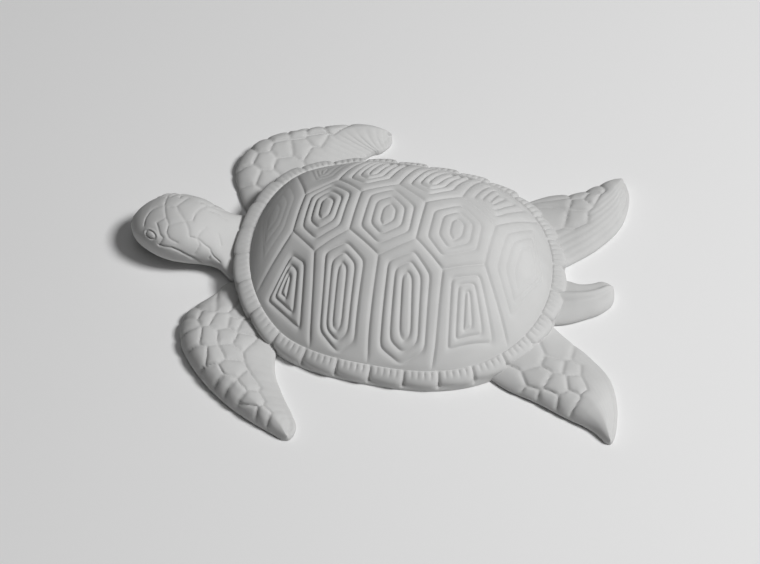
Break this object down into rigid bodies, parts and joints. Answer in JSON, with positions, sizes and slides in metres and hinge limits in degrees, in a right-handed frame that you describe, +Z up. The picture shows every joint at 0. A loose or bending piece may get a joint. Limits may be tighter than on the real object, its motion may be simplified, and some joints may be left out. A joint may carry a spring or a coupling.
{
  "type": "ceramic sea turtle plaque",
  "caption": "Sea turtle cast in pale unglazed ceramic, lying flat with spread flippers, a domed shell of ringed plates, a scaled head and a short tail.",
  "frame": {"origin": "on the flat underside, under the middle of the bounding box", "axes": "+Z up out of the shell, the head points along -X, the tail along +X, and the turtle's left side is -Y"},
  "size_m": [0.2874, 0.2248, 0.0514],
  "materials": {
    "ceramic": null
  },
  "bodies": {
    "root": {"sea_turtle": "ceramic"}
  },
  "joints": []
}
